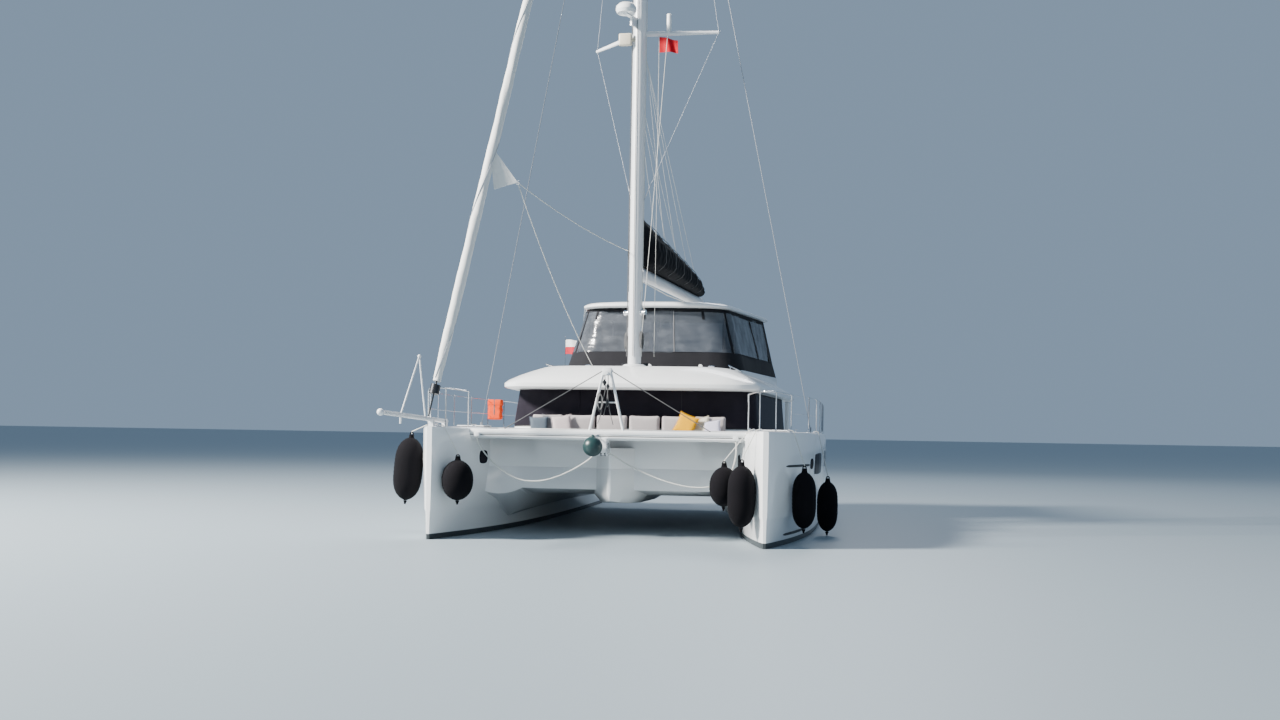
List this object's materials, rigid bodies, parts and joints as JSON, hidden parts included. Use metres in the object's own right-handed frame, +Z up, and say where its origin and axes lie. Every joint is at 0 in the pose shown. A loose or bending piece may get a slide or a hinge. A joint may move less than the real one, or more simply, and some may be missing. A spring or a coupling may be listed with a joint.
{
  "type": "sailing catamaran",
  "caption": "Cruising sailing catamaran afloat at anchor: slim hulls, bridgedeck saloon, enclosed flybridge with hardtop, mast with furled headsail on a bow sprit, boom with sail bag, fenders.",
  "frame": {"origin": "on the waterline, amidships, on the centreline", "axes": "+Z up, -Y towards the bows, +X to port"},
  "size_m": [8.4788, 16.262, 23.19],
  "materials": {
    "gelcoat": "glossy moulded gelcoat",
    "deck_white": "moulded non-slip",
    "fabric_black": "acrylic canvas",
    "net_black": "woven net",
    "fabric_grey": "outdoor upholstery",
    "fabric_pale": "outdoor upholstery",
    "fabric_amber": "woven pillow cover",
    "fabric_blue": "woven pillow cover",
    "fabric_orange": "coated bag fabric",
    "flag_cloth": "light woven cloth",
    "sail_cloth": "sail cloth with UV strip",
    "rope": "braided rope",
    "steel": "polished stainless",
    "alloy": "white painted spar",
    "glass_dark": "dark tinted glass",
    "vinyl_clear": "clear vinyl",
    "rubber_green": "vinyl buoy",
    "teak": "oiled veneer",
    "antifoul": "matt antifouling paint",
    "bronze": "cast bronze"
  },
  "bodies": {
    "platform": {"hull_port": "gelcoat", "hull_starboard": "gelcoat", "bridgedeck": "gelcoat", "foredeck": "gelcoat", "crossbeam": "gelcoat", "crossbeam_striker": "alloy", "trampoline": "net_black", "cabin_walls": "gelcoat", "cabin_glass": "glass_dark", "coachroof": "gelcoat", "aft_bulkhead": "gelcoat", "saloon_sofa": "fabric_pale", "galley_counter": "teak", "cockpit_seat": "deck_white", "cockpit_table": "teak", "foredeck_seat_cushion": "fabric_grey", "foredeck_back_cushion": "fabric_pale", "pillow_blue": "fabric_blue", "pillow_pale": "fabric_pale", "pillow_amber": "fabric_amber", "pillow_white": "fabric_pale", "enclosure": "fabric_black", "enclosure_clear": "vinyl_clear", "hardtop": "gelcoat", "helm_console": "gelcoat", "helm_seat": "fabric_pale", "sunbed": "fabric_pale", "mast": "alloy", "radar_dome": "gelcoat", "shroud_port": "steel", "shroud_starboard": "steel", "sprit": "alloy", "furler": "alloy", "headsail": "sail_cloth", "guard_rail_port": "steel", "guard_rail_starboard": "steel", "fender_starboard_outer": "fabric_black", "fender_starboard_ball": "fabric_black", "fender_port_ball": "fabric_black", "fender_port_inner": "fabric_black", "fender_port_fore": "fabric_black", "fender_port_aft": "fabric_black", "hanging_ball": "rubber_green", "bridle_starboard": "rope", "bridle_port": "rope", "saildrive_port": "alloy", "saildrive_starboard": "alloy", "rail_bag": "fabric_orange", "flag": "flag_cloth"},
    "boom": {"boom": "alloy", "sail_bag": "fabric_black"},
    "rudder_port": {"rudder_port": "antifoul"},
    "rudder_starboard": {"rudder_starboard": "antifoul"},
    "steering_wheel": {"steering_wheel": "steel"},
    "propeller_port": {"propeller_port": "bronze"},
    "propeller_starboard": {"propeller_starboard": "bronze"},
    "saloon_door": {"saloon_door": "glass_dark"},
    "hatch_port": {"hatch_port": "glass_dark"},
    "hatch_starboard": {"hatch_starboard": "glass_dark"}
  },
  "joints": [
    {"name": "boom_swing", "type": "hinge", "parent": "platform", "child": "boom", "pos_m": [0, -2.28, 5.44], "axis": [0, 0, 1], "range_deg": [-54, 65]},
    {"name": "rudder_port_turn", "type": "hinge", "parent": "platform", "child": "rudder_port", "pos_m": [3.05, 6.08, -0.8], "axis": [0, 0, 1], "range_deg": [-35, 35]},
    {"name": "rudder_starboard_turn", "type": "hinge", "parent": "platform", "child": "rudder_starboard", "pos_m": [-3.05, 6.08, -0.8], "axis": [0, 0, 1], "range_deg": [-35, 35]},
    {"name": "wheel_turn", "type": "hinge", "parent": "platform", "child": "steering_wheel", "pos_m": [-0.85, 1.49, 4.14], "axis": [0, -1, 0], "range_deg": [-315, 315]},
    {"name": "propeller_port_spin", "type": "hinge", "parent": "platform", "child": "propeller_port", "pos_m": [3.05, 3.817, -0.985], "axis": [0, 1, 0], "continuous": true},
    {"name": "propeller_starboard_spin", "type": "hinge", "parent": "platform", "child": "propeller_starboard", "pos_m": [-3.05, 3.817, -0.985], "axis": [0, 1, 0], "continuous": true},
    {"name": "saloon_door_slide", "type": "slide", "parent": "platform", "child": "saloon_door", "axis": [-1, 0, 0], "range_m": [0, 0.94]},
    {"name": "hatch_port_open", "type": "hinge", "parent": "platform", "child": "hatch_port", "pos_m": [3.05, -4.3, 2.075], "axis": [1, 0, 0], "range_deg": [0, 85]},
    {"name": "hatch_starboard_open", "type": "hinge", "parent": "platform", "child": "hatch_starboard", "pos_m": [-3.05, -4.3, 2.075], "axis": [1, 0, 0], "range_deg": [0, 85]}
  ],
  "couplings": [
    {"joint": "rudder_starboard_turn", "follows": "rudder_port_turn", "ratio": 1},
    {"joint": "wheel_turn", "follows": "rudder_port_turn", "ratio": 9}
  ]
}
